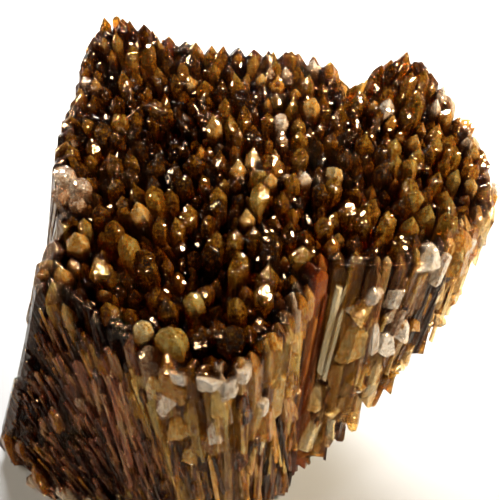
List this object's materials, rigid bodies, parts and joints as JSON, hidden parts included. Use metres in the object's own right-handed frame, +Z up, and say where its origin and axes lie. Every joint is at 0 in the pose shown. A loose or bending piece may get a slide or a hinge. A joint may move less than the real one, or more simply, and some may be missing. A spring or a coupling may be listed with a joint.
{
  "type": "amber calcite crystal cluster",
  "caption": "Natural cluster of amber calcite: columns that fan out from a broken root and end in a carpet of short pointed crystals, for display on a shelf or table.",
  "frame": {"origin": "middle of the flat spot on the underside, on the surface the specimen rests on", "axes": "+Z up; the wall of columns that shows best faces -Y; the overhanging lobe is towards +X"},
  "size_m": [0.1094, 0.0922, 0.0815],
  "materials": {
    "amber_calcite": "clear to cloudy amber crystal, honey at thin edges and dark brown where thick, glossy crystal faces"
  },
  "bodies": {
    "root": {"calcite_cluster": "amber_calcite"}
  },
  "joints": []
}
